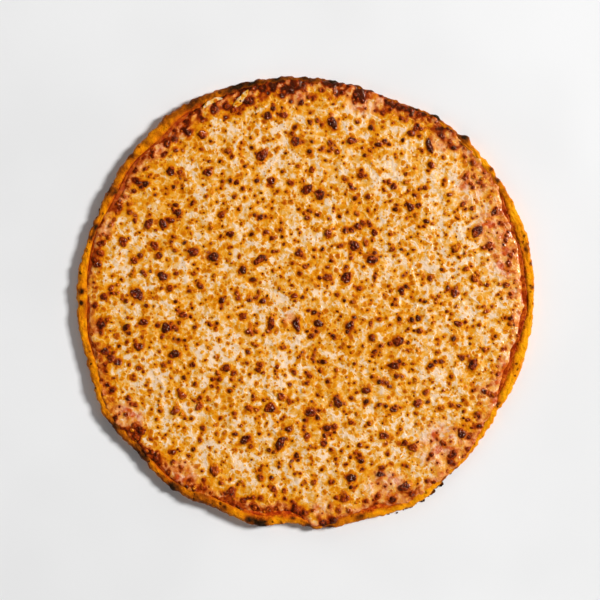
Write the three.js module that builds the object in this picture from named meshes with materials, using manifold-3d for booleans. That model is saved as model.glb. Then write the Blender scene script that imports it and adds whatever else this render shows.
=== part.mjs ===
// A round, thin-crust cheese pizza, whole and uncut: a baked dough base with an uneven raised rim,
// a layer of tomato sauce in it, and a sheet of melted cheese with its browned blisters on top.
// Millimetres, +Z up. +X is the right of the pizza as it is seen from above, +Y its far side.
import * as THREE from "three";
import { mergeVertices } from "three/addons/utils/BufferGeometryUtils.js";
import Module from "manifold-3d";

const wasm = await Module();
wasm.setup();

// ---------------------------------------------------------------- driving dimensions

// The hand-stretched outline: [bearing in degrees, anticlockwise from +X, radius].
const OUTLINE = [
  [0, 178.4], [15, 180], [30, 180], [42, 179.8], [54, 178.2], [66, 173.6], [80, 175.2], [95, 178.2],
  [108, 180.2], [122, 183.4], [138, 181.6], [155, 179.2], [178, 181], [198, 178.8], [210, 182.2],
  [221, 177.6], [233, 180.4], [245, 176.4], [257, 178.6], [266, 173.6], [273, 177.4], [284, 176],
  [297, 179.2], [312, 175], [330, 172.8], [345, 176],
];
// How much of the rim is bare dough: [bearing, width].
const BARE_RIM = [
  [0, 10.5], [22, 8], [45, 7], [66, 4.5], [90, 5], [108, 6], [122, 10], [150, 9.5], [180, 10.5],
  [198, 8], [213, 5.5], [232, 5.5], [252, 10], [264, 8.5], [274, 4.8], [286, 8], [300, 7],
  [315, 4.6], [330, 9], [346, 12],
];
// The sauce left showing between the rim and the cheese: [bearing, width].
const BARE_SAUCE = [
  [4, 5.5], [15, 3], [27, 5], [45, 3], [75, 1.8], [95, 1.8], [118, 3.6], [132, 5], [150, 4], [180, 3],
  [195, 4.2], [210, 2.4], [235, 3.4], [260, 2], [278, 2.2], [300, 3.2], [322, 3], [340, 3.2], [354, 6],
];
// Bubbles baked into the rim: [bearing, width along the rim, how far it swells out].
const RIM_BUBBLES = [
  [20, 7, 1.1], [46, 8, 2.2], [55.5, 7, 2], [127, 12, 0.8], [172, 11, 0.9], [204, 9, 1],
  [240, 10, 1.1], [258, 13, 1.2], [300, 10, 0.9], [337, 9, 1.1],
];

const BASE_THICKNESS = 4.5; // dough under the sauce
const CROWN_HEIGHT = 10.4; // top of the rim above the table
const CROWN_SWAY = 0.9; // how much the crown rises and falls round the pizza
const FOOT_INSET = 6; // where the flat underside starts to curl up
const LAYER_GAP = 0.3; // clearance between the sauce's side and the rim

const SAUCE_THICKNESS = 1.5;
const SAUCE_BEAD = 0.9; // how far the sauce's edge stands up against the rim
const SAUCE_BEAD_WIDTH = 1.2;

const CHEESE_THICKNESS = 3.4;
const CHEESE_WAVE = 0.55; // slow rise and fall of the melted sheet
const CHEESE_LIP_WIDTH = 4; // the sheet rounds down to its edge over this width

const BLISTER_COUNT = 120; // spread over the sheet, besides the large ones below
const BLISTER_SIZE = [4.6, 8.4]; // smallest and largest diameter of a scattered blister
const BLISTER_RISE = 0.17; // height over the sheet, as a share of the diameter
const BLISTER_ROOT = 0.6; // how far a blister reaches down into the sheet
// The largest blisters: [x, y, length, width, heading of the length in degrees].
const LARGE_BLISTERS = [
  [0, 89, 12, 9, 20], [10, 85, 11, 9.5, 70], [-35, 116, 14, 10, 35], [-29, -82, 12, 10, 0], [31, 20, 13, 9, 62],
  [-37, 34, 13, 8, 30], [-103, -84, 10, 8, 70], [-144, 48, 10, 8, 120], [20, 141, 12, 9, 110], [96, 123, 14, 7, 105],
  [37, 45, 10, 10, 0], [133, 56, 14, 9, 35], [-8, -17, 12, 8, 105], [-28, -16, 13, 7, 80], [-89, 40, 11, 9, 15],
  [-133, 7, 13, 11, 120], [76, -144, 11, 9, 30], [9, -16, 10, 7, 150], [121, -102, 10, 8, 120], [24, -78, 11, 8, 110],
  [51, 34, 10, 9, 0], [-73, 36, 10, 9, 130], [130, -48, 11, 9, 60], [-124, 62, 10, 9, 60], [-132, -34, 9, 8, 20],
  [-113, 21, 10, 9, 0], [-21, -110, 14, 9, 75], [-48, -107, 12, 8, 20], [35, -137, 9, 8, 45], [35, 127, 9, 8, 0],
  [-104, -40, 10, 9, 45], [68, -49, 9, 8, 0],
];

const RIM_SEGMENTS = 150;
const SHEET_SEGMENTS = 96;

// ---------------------------------------------------------------- shape functions

const TURN = 2 * Math.PI;
const GOLDEN_ANGLE = Math.PI * (3 - Math.sqrt(5));
const radians = (degrees) => (degrees / 360) * TURN;

// A repeatable draw between 0 and 1 for item n of a numbered stream.
function draw(n, stream) {
  const wave = Math.sin(n * 12.9898 + stream * 78.233) * 43758.5453;
  return wave - Math.floor(wave);
}

// Smooth value of a closed table [degrees, value] at a bearing in radians.
function around(table, bearing) {
  const degrees = ((bearing / TURN) * 360 + 720 - table[0][0]) % 360;
  const count = table.length;
  let at = count - 1;
  while (at > 0 && degrees < table[at][0] - table[0][0]) at -= 1;
  const start = table[at][0] - table[0][0];
  const end = at + 1 < count ? table[at + 1][0] - table[0][0] : 360;
  const t = (degrees - start) / (end - start);
  const ease = t * t * (3 - 2 * t);
  return table[at][1] * (1 - ease) + table[(at + 1) % count][1] * ease;
}

// The swelling that the rim's bubbles add at a bearing.
function bubbleSwell(bearing) {
  return RIM_BUBBLES.reduce((sum, [degrees, width, swell]) => {
    const turned = bearing - radians(degrees);
    const along = Math.atan2(Math.sin(turned), Math.cos(turned)) * OUTLINE[0][1];
    return sum + swell * Math.exp(-((along / (0.5 * width)) ** 2));
  }, 0);
}

const outline = (bearing) => around(OUTLINE, bearing);
const bareRim = (bearing) => around(BARE_RIM, bearing) * (1 + 0.05 * Math.sin(bearing * 17));
const sauceEdge = (bearing) => outline(bearing) - bareRim(bearing) - LAYER_GAP;
const cheeseEdge = (bearing) =>
  sauceEdge(bearing) - around(BARE_SAUCE, bearing) * (1 + 0.3 * Math.sin(bearing * 23 + 1));

// Crown height: a slow sway, small lumps and the bubbles, and lower where the bare rim is narrow.
function crownHeight(bearing) {
  const sway = 0.6 * Math.sin(bearing * 3 + 0.7) + 0.4 * Math.sin(bearing * 7 + 2.1);
  const lumps = 0.25 * Math.sin(bearing * 29) + 0.2 * Math.sin(bearing * 43 + 1.2);
  const width = THREE.MathUtils.smoothstep(bareRim(bearing), 3.5, 9);
  return CROWN_HEIGHT - 1.3 * (1 - width) + CROWN_SWAY * sway + lumps + 0.5 * bubbleSwell(bearing);
}

// The slow waves of the melted sheet, from -1 to 1.
function meltWave(x, y) {
  return (
    0.4 * Math.sin(x / 19 + 1.3) * Math.cos(y / 23 - 0.4) +
    0.35 * Math.sin((x + 1.7 * y) / 31 + 0.6) +
    0.25 * Math.sin((1.9 * x - y) / 17 + 2.2)
  );
}

// Height of the cheese over the table, at a point that is a given way in from the sheet's edge.
function cheeseTop(x, y, inset) {
  const lip = Math.sqrt(1 - (1 - THREE.MathUtils.clamp(inset / CHEESE_LIP_WIDTH, 0, 1)) ** 2);
  const bed = BASE_THICKNESS + SAUCE_THICKNESS;
  return bed + (CHEESE_THICKNESS + CHEESE_WAVE * meltWave(x, y)) * (0.35 + 0.65 * lip);
}

// ---------------------------------------------------------------- bodies

// A closed body of rings round the Z axis. place(station, bearing) gives each ring's radius and height
// there, and the first and last station lie on the axis.
function ringBody(stations, segments, place) {
  const last = stations.length - 1;
  const profile = stations.map((_, j) => new THREE.Vector2(j === 0 || j === last ? 0 : 1, j));
  const geometry = new THREE.LatheGeometry(profile, segments);
  const position = geometry.getAttribute("position");
  for (let v = 0; v < position.count; v++) {
    const bearing = ((Math.floor(v / stations.length) % segments) / segments) * TURN;
    const [radius, height] = place(stations[v % stations.length], bearing);
    position.setXYZ(v, radius * Math.cos(bearing), radius * Math.sin(bearing), height);
  }
  return bare(geometry);
}

// A geometry with only its positions, shared between the faces that meet there.
function bare(geometry) {
  geometry.deleteAttribute("normal");
  geometry.deleteAttribute("uv");
  return mergeVertices(geometry, 1e-4);
}

// Dough: from the middle of the underside, round the edge, over the rim and back along the sauce's bed.
function crustGeometry() {
  // Each station: share of the way out, inset from the edge, inset as a share of the bare rim, and the
  // height as a share of the crown's, or from the bed (bed: true).
  const stations = [
    { reach: 0, inset: 0, rim: 0, height: 0 },
    { reach: 1, inset: FOOT_INSET, rim: 0, height: 0 },
    { reach: 1, inset: 1.7, rim: 0, height: 0.13 },
    { reach: 1, inset: 0, rim: 0, height: 0.42 },
    { reach: 1, inset: 0.6, rim: 0.03, height: 0.72 },
    { reach: 1, inset: 1, rim: 0.18, height: 0.94 },
    { reach: 1, inset: 0.6, rim: 0.45, height: 1 },
    { reach: 1, inset: 0, rim: 0.8, height: 0.9 },
    { reach: 1, inset: 0, rim: 1, height: 0, bed: true },
    { reach: 0, inset: 0, rim: 0, height: 0, bed: true },
  ];
  return ringBody(stations, RIM_SEGMENTS, (station, bearing) => {
    const swell = (1 - station.rim) * bubbleSwell(bearing);
    const radius = outline(bearing) + swell - station.inset - station.rim * bareRim(bearing);
    return [station.reach * radius, station.bed ? BASE_THICKNESS : station.height * crownHeight(bearing)];
  });
}

// Sauce: a flat layer on its bed in the dough, with a bead that stands up against the rim.
function sauceGeometry() {
  const top = BASE_THICKNESS + SAUCE_THICKNESS;
  const stations = [
    { reach: 0, inset: 0, height: BASE_THICKNESS },
    { reach: 1, inset: 0, height: BASE_THICKNESS },
    { reach: 1, inset: 0, height: top + 0.6 * SAUCE_BEAD },
    { reach: 1, inset: 0.4 * SAUCE_BEAD_WIDTH, height: top + SAUCE_BEAD },
    { reach: 1, inset: SAUCE_BEAD_WIDTH, height: top },
    { reach: 0, inset: 0, height: top },
  ];
  return ringBody(stations, RIM_SEGMENTS, (station, bearing) => [
    station.reach * (sauceEdge(bearing) - station.inset),
    station.height,
  ]);
}

// The melted sheet without its blisters: a flat underside on the sauce and a waved top with a round lip.
function sheetGeometry() {
  const insets = [0, 0.5, 2, CHEESE_LIP_WIDTH];
  const rings = [0.94, 0.86, 0.76, 0.65, 0.53, 0.41, 0.28, 0.14];
  const stations = [
    { reach: 0, inset: 0, under: true },
    { reach: 1, inset: 0, under: true },
    ...insets.map((inset) => ({ reach: 1, inset })),
    ...rings.map((reach) => ({ reach, inset: CHEESE_LIP_WIDTH })),
    { reach: 0, inset: CHEESE_LIP_WIDTH },
  ];
  return ringBody(stations, SHEET_SEGMENTS, (station, bearing) => {
    const radius = station.reach * (cheeseEdge(bearing) - station.inset);
    if (station.under) return [radius, BASE_THICKNESS + SAUCE_THICKNESS];
    return [radius, cheeseTop(radius * Math.cos(bearing), radius * Math.sin(bearing), station.inset)];
  });
}

// Scattered blisters, spread evenly by the golden angle and then shaken out of line.
function scatteredBlisters() {
  const found = [];
  for (let n = 0; n < BLISTER_COUNT; n++) {
    const bearing = n * GOLDEN_ANGLE;
    const edge = cheeseEdge(bearing) - 1.4 * CHEESE_LIP_WIDTH;
    const spacing = edge * Math.sqrt(Math.PI / BLISTER_COUNT);
    const radius = edge * Math.sqrt((n + 0.5) / BLISTER_COUNT);
    const shift = (stream) => spacing * 0.6 * (draw(n, stream) - 0.5) * Math.min(1, (edge - radius) / spacing);
    const x = radius * Math.cos(bearing) + shift(1);
    const y = radius * Math.sin(bearing) + shift(2);
    const length = BLISTER_SIZE[0] + (BLISTER_SIZE[1] - BLISTER_SIZE[0]) * draw(n, 3) ** 2;
    const crowded = LARGE_BLISTERS.some(([a, b, size]) => Math.hypot(x - a, y - b) < 0.6 * (size + length));
    if (!crowded) found.push([x, y, length, length * (0.72 + 0.25 * draw(n, 4)), 180 * draw(n, 5)]);
  }
  return found;
}

// One blister: a low dome of seven sides, rooted in the sheet, that stands a little out of it.
function blisterGeometry([x, y, length, width, heading]) {
  const rise = BLISTER_RISE * Math.sqrt(length * width);
  const height = cheeseTop(x, y, cheeseEdge(Math.atan2(y, x)) - Math.hypot(x, y));
  const profile = [[0, -BLISTER_ROOT], [1, 0], [0.74, rise], [0, 1.5 * rise]];
  const dome = new THREE.LatheGeometry(profile.map(([r, h]) => new THREE.Vector2(r, h)), 7);
  dome.rotateX(Math.PI / 2);
  dome.scale(length / 2, width / 2, 1);
  dome.rotateZ(radians(heading));
  return bare(dome.translate(x, y, height - 0.5 * rise));
}

// ---------------------------------------------------------------- joining

function solidOf(geometry) {
  return new wasm.Manifold(
    new wasm.Mesh({
      numProp: 3,
      vertProperties: geometry.getAttribute("position").array,
      triVerts: new Uint32Array(geometry.getIndex().array),
    }),
  );
}

function geometryOf(solid) {
  const mesh = solid.getMesh();
  return new THREE.BufferGeometry()
    .setAttribute("position", new THREE.BufferAttribute(mesh.vertProperties, 3))
    .setIndex(new THREE.BufferAttribute(mesh.triVerts, 1));
}

function cheeseGeometry() {
  const blisters = [...LARGE_BLISTERS, ...scatteredBlisters()];
  const sheet = solidOf(sheetGeometry());
  const joined = blisters.reduce((solid, blister) => solid.add(solidOf(blisterGeometry(blister))), sheet);
  return geometryOf(joined);
}

// ---------------------------------------------------------------- the pizza

function node(name, geometry, color, roughness) {
  geometry.computeVertexNormals();
  const mesh = new THREE.Mesh(geometry, new THREE.MeshStandardMaterial({ color, roughness, metalness: 0 }));
  mesh.name = name;
  return mesh;
}

const crust = node("crust", crustGeometry(), 0xe39a1f, 0.75);
const sauce = node("sauce", sauceGeometry(), 0x9a2408, 0.4);
const cheese = node("cheese", cheeseGeometry(), 0xe6ac5c, 0.45);

const pizza = new THREE.Group();
pizza.add(crust, sauce, cheese);

// The frame's origin is under the middle of the outline, on the table.
const middle = new THREE.Box3().setFromObject(crust).getCenter(new THREE.Vector3());
pizza.position.set(-middle.x, -middle.y, 0);

export default pizza;
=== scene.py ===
"""A whole, uncut cheese pizza: baked crust, tomato sauce and a blistered sheet of melted cheese."""

import math

import bpy
import numpy as np
from bpy.props import FloatProperty, FloatVectorProperty, IntProperty, PointerProperty
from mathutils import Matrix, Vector


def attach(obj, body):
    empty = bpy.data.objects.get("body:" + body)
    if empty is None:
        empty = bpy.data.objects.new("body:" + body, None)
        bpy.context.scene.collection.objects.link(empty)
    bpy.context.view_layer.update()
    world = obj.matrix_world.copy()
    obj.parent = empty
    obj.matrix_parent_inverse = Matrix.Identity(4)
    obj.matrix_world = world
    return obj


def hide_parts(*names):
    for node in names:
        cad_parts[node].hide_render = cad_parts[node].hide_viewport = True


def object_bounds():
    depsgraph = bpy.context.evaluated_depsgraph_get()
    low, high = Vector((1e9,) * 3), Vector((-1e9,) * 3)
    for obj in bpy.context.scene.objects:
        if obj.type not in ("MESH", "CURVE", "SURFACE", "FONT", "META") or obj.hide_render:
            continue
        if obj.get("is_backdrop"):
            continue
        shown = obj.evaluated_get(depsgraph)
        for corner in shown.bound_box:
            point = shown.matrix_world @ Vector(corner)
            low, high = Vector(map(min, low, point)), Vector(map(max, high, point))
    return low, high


bl_info = {
    "name": "Cheese Pizza",
    "version": (1, 0, 0),
    "blender": (4, 5, 0),
    "location": "View3D > Sidebar > Pizza",
    "description": "Builds a whole thin-crust cheese pizza on its packed frame",
    "category": "Add Mesh",
}

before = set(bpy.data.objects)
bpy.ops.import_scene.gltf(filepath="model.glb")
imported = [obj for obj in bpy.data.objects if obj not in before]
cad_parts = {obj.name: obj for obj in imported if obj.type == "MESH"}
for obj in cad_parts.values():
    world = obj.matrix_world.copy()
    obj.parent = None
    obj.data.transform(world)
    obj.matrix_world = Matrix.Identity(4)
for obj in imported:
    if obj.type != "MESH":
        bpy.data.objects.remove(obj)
CAD_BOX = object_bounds()

# ---------------------------------------------------------------- the pizza's measures, in millimetres

MM = 0.001
TURN = 2 * math.pi
GOLDEN_ANGLE = math.pi * (3 - math.sqrt(5))

# Where the middle of the toppings lies in the frame. The places below are measured from it.
MIDDLE = (1.269, -0.369)

# The edge of the pizza: [bearing in degrees, anticlockwise from +X, radius]
OUTLINE = [
    (0, 178.4), (15, 180), (30, 180), (42, 179.8), (54, 178.2), (66, 173.6), (80, 175.2), (95, 178.2),
    (108, 180.2), (122, 183.4), (138, 181.6), (155, 179.2), (178, 181), (198, 178.8), (210, 182.2),
    (221, 177.6), (233, 180.4), (245, 176.4), (257, 178.6), (266, 173.6), (273, 177.4), (284, 176),
    (297, 179.2), (312, 175), (330, 172.8), (345, 176),
]
# The rim that shows: [bearing, width]
BARE_RIM = [
    (0, 5), (12, 7), (22, 7.4), (30, 5), (42, 5.4), (52, 3.6), (66, 3), (90, 4.2), (108, 5), (122, 7),
    (131, 8.2), (141, 6.4), (150, 6.8), (162, 5), (171, 6), (180, 8.2), (190, 5.8), (200, 6.6), (213, 5.5),
    (232, 5.5), (252, 7.4), (264, 7.2), (274, 4.8), (286, 6.6), (300, 4.8), (312, 3), (322, 3.6),
    (332, 6.4), (342, 8.2), (351, 7.6),
]
# The sauce left bare before the cheese ran, which the scattered blisters keep off: [bearing, width]
BARE_SAUCE = [
    (4, 5.5), (15, 3), (27, 5), (45, 3), (75, 1.8), (95, 1.8), (118, 3.6), (132, 5), (150, 4), (180, 3),
    (195, 4.2), (210, 2.4), (235, 3.4), (260, 2), (278, 2.2), (300, 3.2), (322, 3), (340, 3.2), (354, 6),
]
# The line of sauce that still shows once the cheese has run: [bearing, width]
SAUCE_LINE = [
    (0, 5.2), (5, 4), (10, 3), (17, 2.2), (24, 3.4), (30, 1.4), (38, 0), (60, 0), (100, 0), (112, 0.4),
    (119, 1.2), (128, 3.4), (134, 2), (142, 3), (149, 4), (158, 1.6), (168, 2.6), (176, 1.2), (182, 2.4),
    (189, 3), (197, 0.6), (210, 0.2), (222, 0.4), (230, 3), (237, 0.8), (250, 1.2), (259, 3), (266, 2.2),
    (273, 1), (280, 1), (290, 3), (298, 0.4), (310, 0), (320, 0.6), (330, 1), (339, 3.4), (346, 2.8),
    (353, 3.4),
]
# How far the cheese laps onto the rim: [bearing, width]
CHEESE_LAP = [
    (0, 0), (12, 0.6), (24, 0.2), (32, 1), (45, 1.8), (60, 2), (75, 2.4), (90, 3), (100, 2.4), (110, 1),
    (120, 0.4), (150, 0.5), (158, 1.6), (165, 0.2), (190, 0.8), (203, 2), (215, 1.8), (228, 1), (236, 1.8),
    (248, 1), (262, 0.8), (267, 1.4), (270, 3.8), (273, 5), (276, 4.4), (280, 1.4), (290, 0.8), (302, 1.6),
    (315, 2.2), (322, 1), (330, 2.6), (336, 0.4),
]
# [bearing, width along the rim, how far it swells out]
RIM_BUBBLES = [
    (20, 7, 1.1), (46, 8, 2.2), (55.5, 7, 2), (127, 12, 0.8), (172, 11, 0.9), (204, 9, 1), (240, 10, 1.1),
    (258, 13, 1.2), (300, 10, 0.9), (337, 9, 1.1),
]
# [x, y, length, width, heading of the length in degrees]
LARGE_BLISTERS = [
    (0, 89, 12, 9, 20), (10, 85, 11, 9.5, 70), (-35, 116, 14, 10, 35), (-29, -82, 12, 10, 0),
    (31, 20, 13, 9, 62), (-37, 34, 13, 8, 30), (-103, -84, 10, 8, 70), (-144, 48, 10, 8, 120),
    (20, 141, 12, 9, 110), (96, 123, 14, 7, 105), (37, 45, 10, 10, 0), (133, 56, 14, 9, 35),
    (-8, -17, 12, 8, 105), (-28, -16, 13, 7, 80), (-89, 40, 11, 9, 15), (-133, 7, 13, 11, 120),
    (76, -144, 11, 9, 30), (9, -16, 10, 7, 150), (121, -102, 10, 8, 120), (24, -78, 11, 8, 110),
    (51, 34, 10, 9, 0), (-73, 36, 10, 9, 130), (130, -48, 11, 9, 60), (-124, 62, 10, 9, 60),
    (-132, -34, 9, 8, 20), (-113, 21, 10, 9, 0), (-21, -110, 14, 9, 75), (-48, -107, 12, 8, 20),
    (35, -137, 9, 8, 45), (35, 127, 9, 8, 0), (-104, -40, 10, 9, 45), (68, -49, 9, 8, 0),
]
# Smaller blisters that stand out in their place: [x, y, diameter, darkness]
LANDMARK_BLISTERS = [
    (-113, 62, 7.5, 1), (-116, 37, 6.5, 0.9), (-128, -15, 7, 0.9), (81, 75, 7, 0.95), (-158, -38, 7, 0.9),
    (-18, 147, 6.5, 0.8), (-148, -46, 7, 0.95), (34, -137, 6, 0.9), (-164, 30, 6, 0.8),
    (-50, 26, 6.5, 0.95), (-63, -51, 7, 0.95), (82, 133, 6.5, 0.85), (-50, -10, 6, 0.8), (16, -98, 6, 0.8),
    (53, 55, 6, 0.95), (40, 60, 6, 0.9), (-101, 71, 6.5, 0.9), (-28, 96, 7, 0.95), (-60, 54, 6.5, 0.95),
    (114, -118, 7, 0.85), (-9, -164, 7, 1), (-46, 158, 7, 1), (-60, -147, 6.5, 0.95), (-161, -17, 7, 0.9),
    (-129, -100, 7, 0.95), (-159, 5, 6.5, 0.9), (0, -104, 6, 0.8), (51, -27, 6, 0.85), (131, 19, 6.5, 0.75),
]
# Places where sauce shines through the cheese: [x, y, width, share]
ROSY_PLACES = [
    (148, 61, 30, 1), (158, 34, 30, 1), (166, 10, 20, 0.9), (128, 90, 24, 0.7), (110, 129, 22, 0.8),
    (104, -112, 32, 1), (62, -146, 28, 1), (12, -160, 14, 0.9), (-140, -90, 22, 0.9), (-98, -137, 24, 0.9),
    (-10, 166, 18, 0.9), (44, 160, 24, 0.9), (-118, 122, 16, 0.8), (-100, 138, 16, 0.9),
    (-158, 60, 14, 0.6), (-15, -10, 10, 0.5), (148, 45, 8, 1), (152, 42, 7, 1), (-165, -20, 10, 0.4),
    (140, -70, 16, 0.5),
]
# How far the oven browned the rim, with painted shade added on the sides turned away from the key light:
# [bearing, browning with painted shade]
RIM_TOAST_AND_SHADE = [
    (0, 0.04), (30, 0.1), (48, 0.24), (62, 0.42), (80, 0.5), (90, 0.46), (108, 0.56), (122, 0.44),
    (134, 0.2), (150, 0.28), (175, 0.12), (190, 0.18), (208, 0.24), (225, 0.28), (240, 0.42), (256, 0.2),
    (275, 0.2), (292, 0.14), (305, 0.04), (320, 0.12), (335, 0), (350, -0.02),
]
# How far it browned the cheese beside the rim: [bearing, browning]
SHEET_TOAST = [
    (0, 0.06), (20, 0.12), (42, 0.26), (60, 0.42), (80, 0.54), (100, 0.62), (118, 0.46), (135, 0.28),
    (158, 0.22), (182, 0.14), (198, 0.18), (222, 0.32), (250, 0.26), (272, 0.3), (288, 0.14), (305, 0.1),
    (320, 0.16), (335, 0.08),
]
# Darker marks on the bare rim: [bearing, share of the way in from the edge, width, darkness]
RIM_MARKS = [
    (108, 0.7, 8, 0.45), (104, 0.6, 6, 0.3), (98, 0.4, 6, 0.3), (90, 0.6, 8, 0.3), (83, 0.2, 7, 0.6),
    (80, 0.3, 4, 0.6), (72, 0.5, 8, 0.3), (258, 0.35, 9, 0.95), (255, 0.5, 6, 0.8), (55, 0.15, 7, 0.75),
    (46.5, 0.1, 7, 0.65), (61, 0.8, 6, 0.7), (177, 0.55, 4, 0.85), (180, 0.5, 2.6, 1.2), (163, 0.8, 5, 0.7),
    (160, 0.9, 5, 0.7), (140, 0.4, 6, 0.4), (150, 0.6, 7, 0.35), (222, 0.3, 16, 0.4), (212, 0.5, 12, 0.35),
    (234, 0.4, 9, 0.5), (14, 0.6, 7, 0.4), (10, 0.2, 3.5, 0.6), (4, 0.3, 4, 0.5), (33, 0.5, 5, 0.6),
    (36, 0.3, 4, 0.5), (-52, 0.4, 7, 0.5), (-48, 0.5, 6, 0.5), (-28, 0.7, 6, 0.6), (270, 0.1, 8, 0.45),
    (276, 0.1, 6, 0.4), (266, 0.9, 5, 0.6), (248, 0.8, 5, 0.5), (-76, 0.7, 7, 0.4),
]
# Creases and folds that the melting left: [width, height, then the points they run through]
FOLDS = [
    (4, 0.4, (-94, 42), (-95, 28), (-94, 14)),
    (4, 0.35, (-29, 108), (-33, 97), (-35, 85)),
    (3, 0.9, (-79, 155), (-72, 158), (-65, 159)),
    (7, 0.5, (-79, 150), (-73, 146)),
    (3, 0.4, (-36, 150), (-29, 157)),
    (5, 0.4, (-22, 134), (-18, 140)),
    (2.4, 0.6, (-153, 63), (-153, 57)),
    (3, 0.4, (96, -14), (92, -4), (94, 8)),
    (3, 0.35, (80, 27), (88, 12), (84, -12)),
    (3.4, 0.4, (118, 62), (122, 46), (134, 38)),
    (3, 0.5, (-46, -62), (-30, -66), (-18, -60)),
    (3, 0.5, (14, 52), (22, 66), (16, 80)),
    (3, 0.5, (-120, -52), (-112, -66), (-116, -80)),
]
# Shreds of cheese that kept their form: [width, then where they start, bend and end]
STRANDS = [
    (5.2, (-58, 153), (-52, 158), (-46, 167)),
    (3.8, (-66, 160), (-74, 160), (-82, 152)),
    (2.6, (-44, 146), (-40, 150), (-32, 156)),
]
# Burnt crumbs that stick to the foot of the rim: [bearing, how far it spreads along, count]
CRUMBS = [(-61, 6, 60), (-54.8, 2.2, 34), (-67, 3, 16), (-50, 3, 8), (152, 10, 8)]

BASE_THICKNESS = 4.5
CROWN_HEIGHT = 10.4
CROWN_SWAY = 0.9
FOOT_INSET = 6
RIM_RINGS = 80
RIM_RADIUS = 179
LAYER_GAP = 0.3
SAUCE_THICKNESS = 1.5
SAUCE_TOP = BASE_THICKNESS + SAUCE_THICKNESS
SAUCE_BEAD = 1.8
SAUCE_BEAD_WIDTH = 1.2
SAUCE_RINGS = 24
CHEESE_THICKNESS = 3.4
CHEESE_WAVE = 0.55
CHEESE_RADIUS = 175
LIP_WIDTH = 3.2
HIGHEST = 11.9

# How many blisters are scattered, their diameters, and how far they stay from the sheet's edge
BLISTER_COUNT, BLISTER_SIZE, BLISTER_MARGIN = 120, (4.6, 8.4), 5.6
FINE_COUNT, FINE_SIZE, FINE_MARGIN = 1500, (1.7, 4.6), 2.5
EDGE_COUNT = 150

# The noise repeats after this many cells
CELLS = 64

# The soft lights and the camera, in metres and watts: [name, place, size, power]
LIGHTS = [
    ("key_light", (4.2, 1.2, 3.6), 1.2, 400),
    ("left_fill", (-2.7, -0.3, 1.9), 2.0, 14),
    ("far_fill", (0.2, 2.8, 1.9), 2.0, 14),
    ("near_fill", (-0.2, -2.8, 1.9), 2.0, 10),
]
CAMERA_PLACE = (-0.0055 + MIDDLE[0] * MM, 0.00235 + MIDDLE[1] * MM, 1.184)
CAMERA_LENS = 90


def radians(degrees):
    return degrees / 360 * TURN


def draw(n, stream):
    """A repeatable draw between 0 and 1 for item n of a numbered stream."""
    wave = math.sin(n * 12.9898 + stream * 78.233) * 43758.5453
    return wave - math.floor(wave)


def around(table, bearing):
    """Smooth values of a closed table at an array of bearings in radians."""
    start = table[0][0]
    degrees = (np.degrees(bearing) + 720 - start) % 360
    stops = np.array([stop - start for stop, _ in table] + [360.0])
    values = np.array([value for _, value in table] + [table[0][1]], float)
    at = np.clip(np.searchsorted(stops, degrees, side="right") - 1, 0, len(table) - 1)
    t = (degrees - stops[at]) / (stops[at + 1] - stops[at])
    ease = t * t * (3 - 2 * t)
    return values[at] * (1 - ease) + values[at + 1] * ease


def smooth(low, high, value):
    """0 below low, 1 above high and a smooth step between."""
    t = np.clip((value - low) / (high - low), 0, 1)
    return t * t * (3 - 2 * t)


def turned(x, y, angle):
    """Coordinates turned anticlockwise about the Z axis."""
    return x * math.cos(angle) - y * math.sin(angle), x * math.sin(angle) + y * math.cos(angle)


def bubble_swell(bearing):
    total = np.zeros_like(bearing)
    for degrees, width, swell in RIM_BUBBLES:
        turned = bearing - radians(degrees)
        along = np.arctan2(np.sin(turned), np.cos(turned)) * OUTLINE[0][1]
        total += swell * np.exp(-((along / (0.5 * width)) ** 2))
    return total


def outline(bearing):
    return around(OUTLINE, bearing)


def bare_rim(bearing):
    return around(BARE_RIM, bearing) * (1 + 0.05 * np.sin(bearing * 17))


def sauce_edge(bearing):
    return outline(bearing) - bare_rim(bearing) - LAYER_GAP


def cheese_edge(bearing):
    return sauce_edge(bearing) - around(BARE_SAUCE, bearing) * (1 + 0.3 * np.sin(bearing * 23 + 1))


def crown_height(bearing):
    sway = 0.6 * np.sin(bearing * 3 + 0.7) + 0.4 * np.sin(bearing * 7 + 2.1)
    lumps = 0.25 * np.sin(bearing * 29) + 0.2 * np.sin(bearing * 43 + 1.2)
    width = smooth(3.5, 9, bare_rim(bearing))
    return CROWN_HEIGHT - 1.3 * (1 - width) + CROWN_SWAY * sway + lumps + 0.5 * bubble_swell(bearing)


def melt_wave(x, y):
    return (
        0.4 * np.sin(x / 19 + 1.3) * np.cos(y / 23 - 0.4)
        + 0.35 * np.sin((x + 1.7 * y) / 31 + 0.6)
        + 0.25 * np.sin((1.9 * x - y) / 17 + 2.2)
    )


def groove_at(bearing):
    """How open the groove between the rim and the cheese is, from 0 to 1."""
    return smooth(0.5, 2.5, around(SAUCE_LINE, bearing))


def cheese_border(bearing):
    """Where the melted sheet ends, and how much of a groove is left between it and the rim."""
    x, y = CHEESE_RADIUS * np.cos(bearing), CHEESE_RADIUS * np.sin(bearing)
    line = around(SAUCE_LINE, bearing) * (0.85 + 0.6 * lattice(x, y, 12, 8))
    groove = smooth(0.5, 2.5, line)
    ragged = 1.5 * lattice(x, y, 9, 5) + 1.1 * lattice(x, y, 4, 6) + 0.4 * lattice(x, y, 2.2, 7)
    border = sauce_edge(bearing) - line + around(CHEESE_LAP, bearing) + ragged * (1 - 0.4 * groove)
    return np.minimum(border, outline(bearing) - 1), groove


def rim_surface(bearing, radius):
    """Height of the top of the bare rim, whose inside falls away towards the sheet."""
    share = (outline(bearing) - radius) / bare_rim(bearing)
    stops = [0, 0.03, 0.16, 0.4, 0.72, 1.0, 1.1, 1.3]
    return crown_height(bearing) * np.interp(share, stops, [0.5, 0.84, 0.97, 1, 1, 0.97, 0.9, 0.4])


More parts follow.
